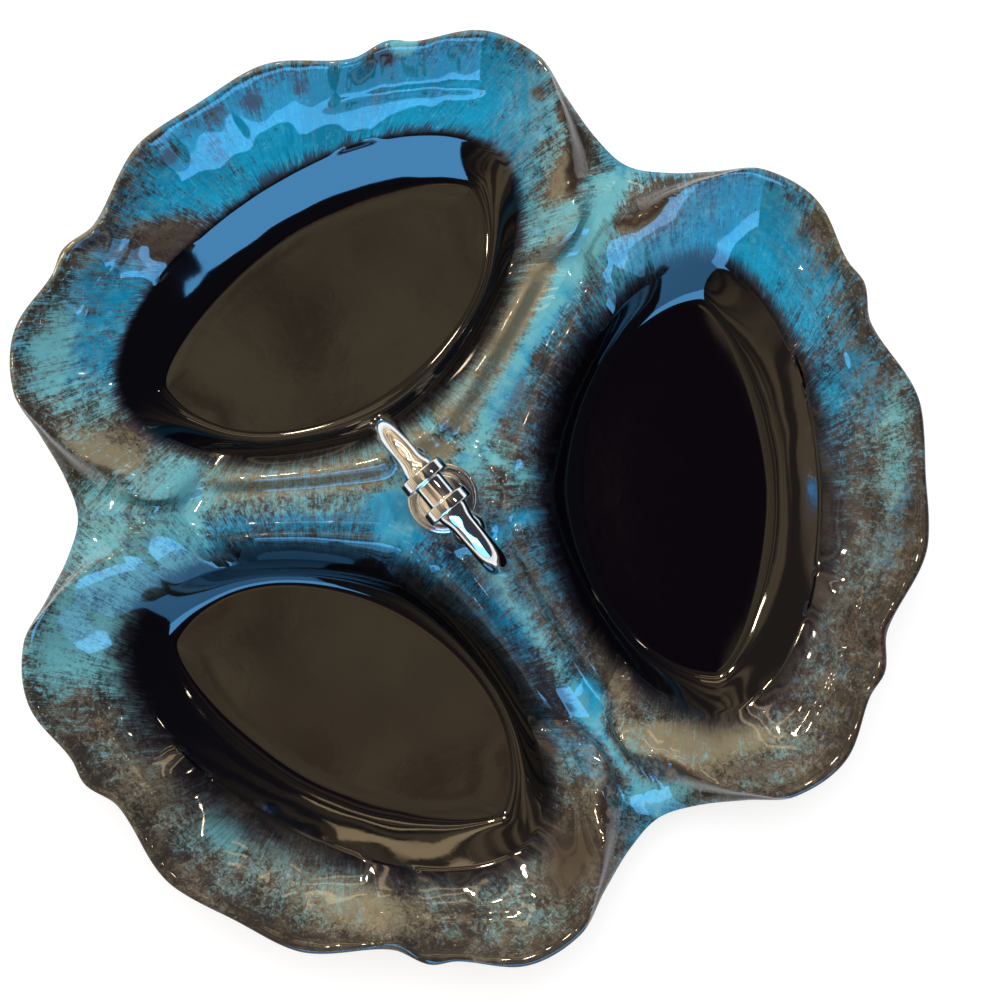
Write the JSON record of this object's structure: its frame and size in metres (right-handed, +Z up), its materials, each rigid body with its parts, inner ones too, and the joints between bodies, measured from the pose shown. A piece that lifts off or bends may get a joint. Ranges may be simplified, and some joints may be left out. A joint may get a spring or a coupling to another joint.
{
  "type": "divided serving dish",
  "caption": "Lobed glazed ceramic serving dish with a scalloped rim, pointed-oval wells parted by grooves, and a chrome loop handle that turns on a screw in the middle.",
  "frame": {"origin": "on the surface the dish stands on, under the middle of the part's plan box", "axes": "+Z up; +X from the middle of the dish to the middle of its first lobe; the part is level at rest"},
  "size_m": [0.3208, 0.33, 0.0871],
  "materials": {
    "drip_glaze": "glossy turquoise, brown and black drip glaze",
    "chrome": "polished plating",
    "plated_steel": "dull zinc plating",
    "gasket": "matt"
  },
  "bodies": {
    "dish": {"dish": "drip_glaze", "top_gasket": "gasket", "lower_gasket": "gasket"},
    "handle": {"base_flange": "chrome", "boss_collar": "chrome", "handle_bow": "chrome", "crown_spool": "chrome", "flat_washer": "plated_steel", "lock_washer": "plated_steel", "clamp_screw": "plated_steel"}
  },
  "joints": [
    {"name": "handle_turn", "type": "hinge", "parent": "dish", "child": "handle", "pos_m": [-0.00954, 0, 0.025], "axis": [0, 0, 1], "continuous": true}
  ]
}
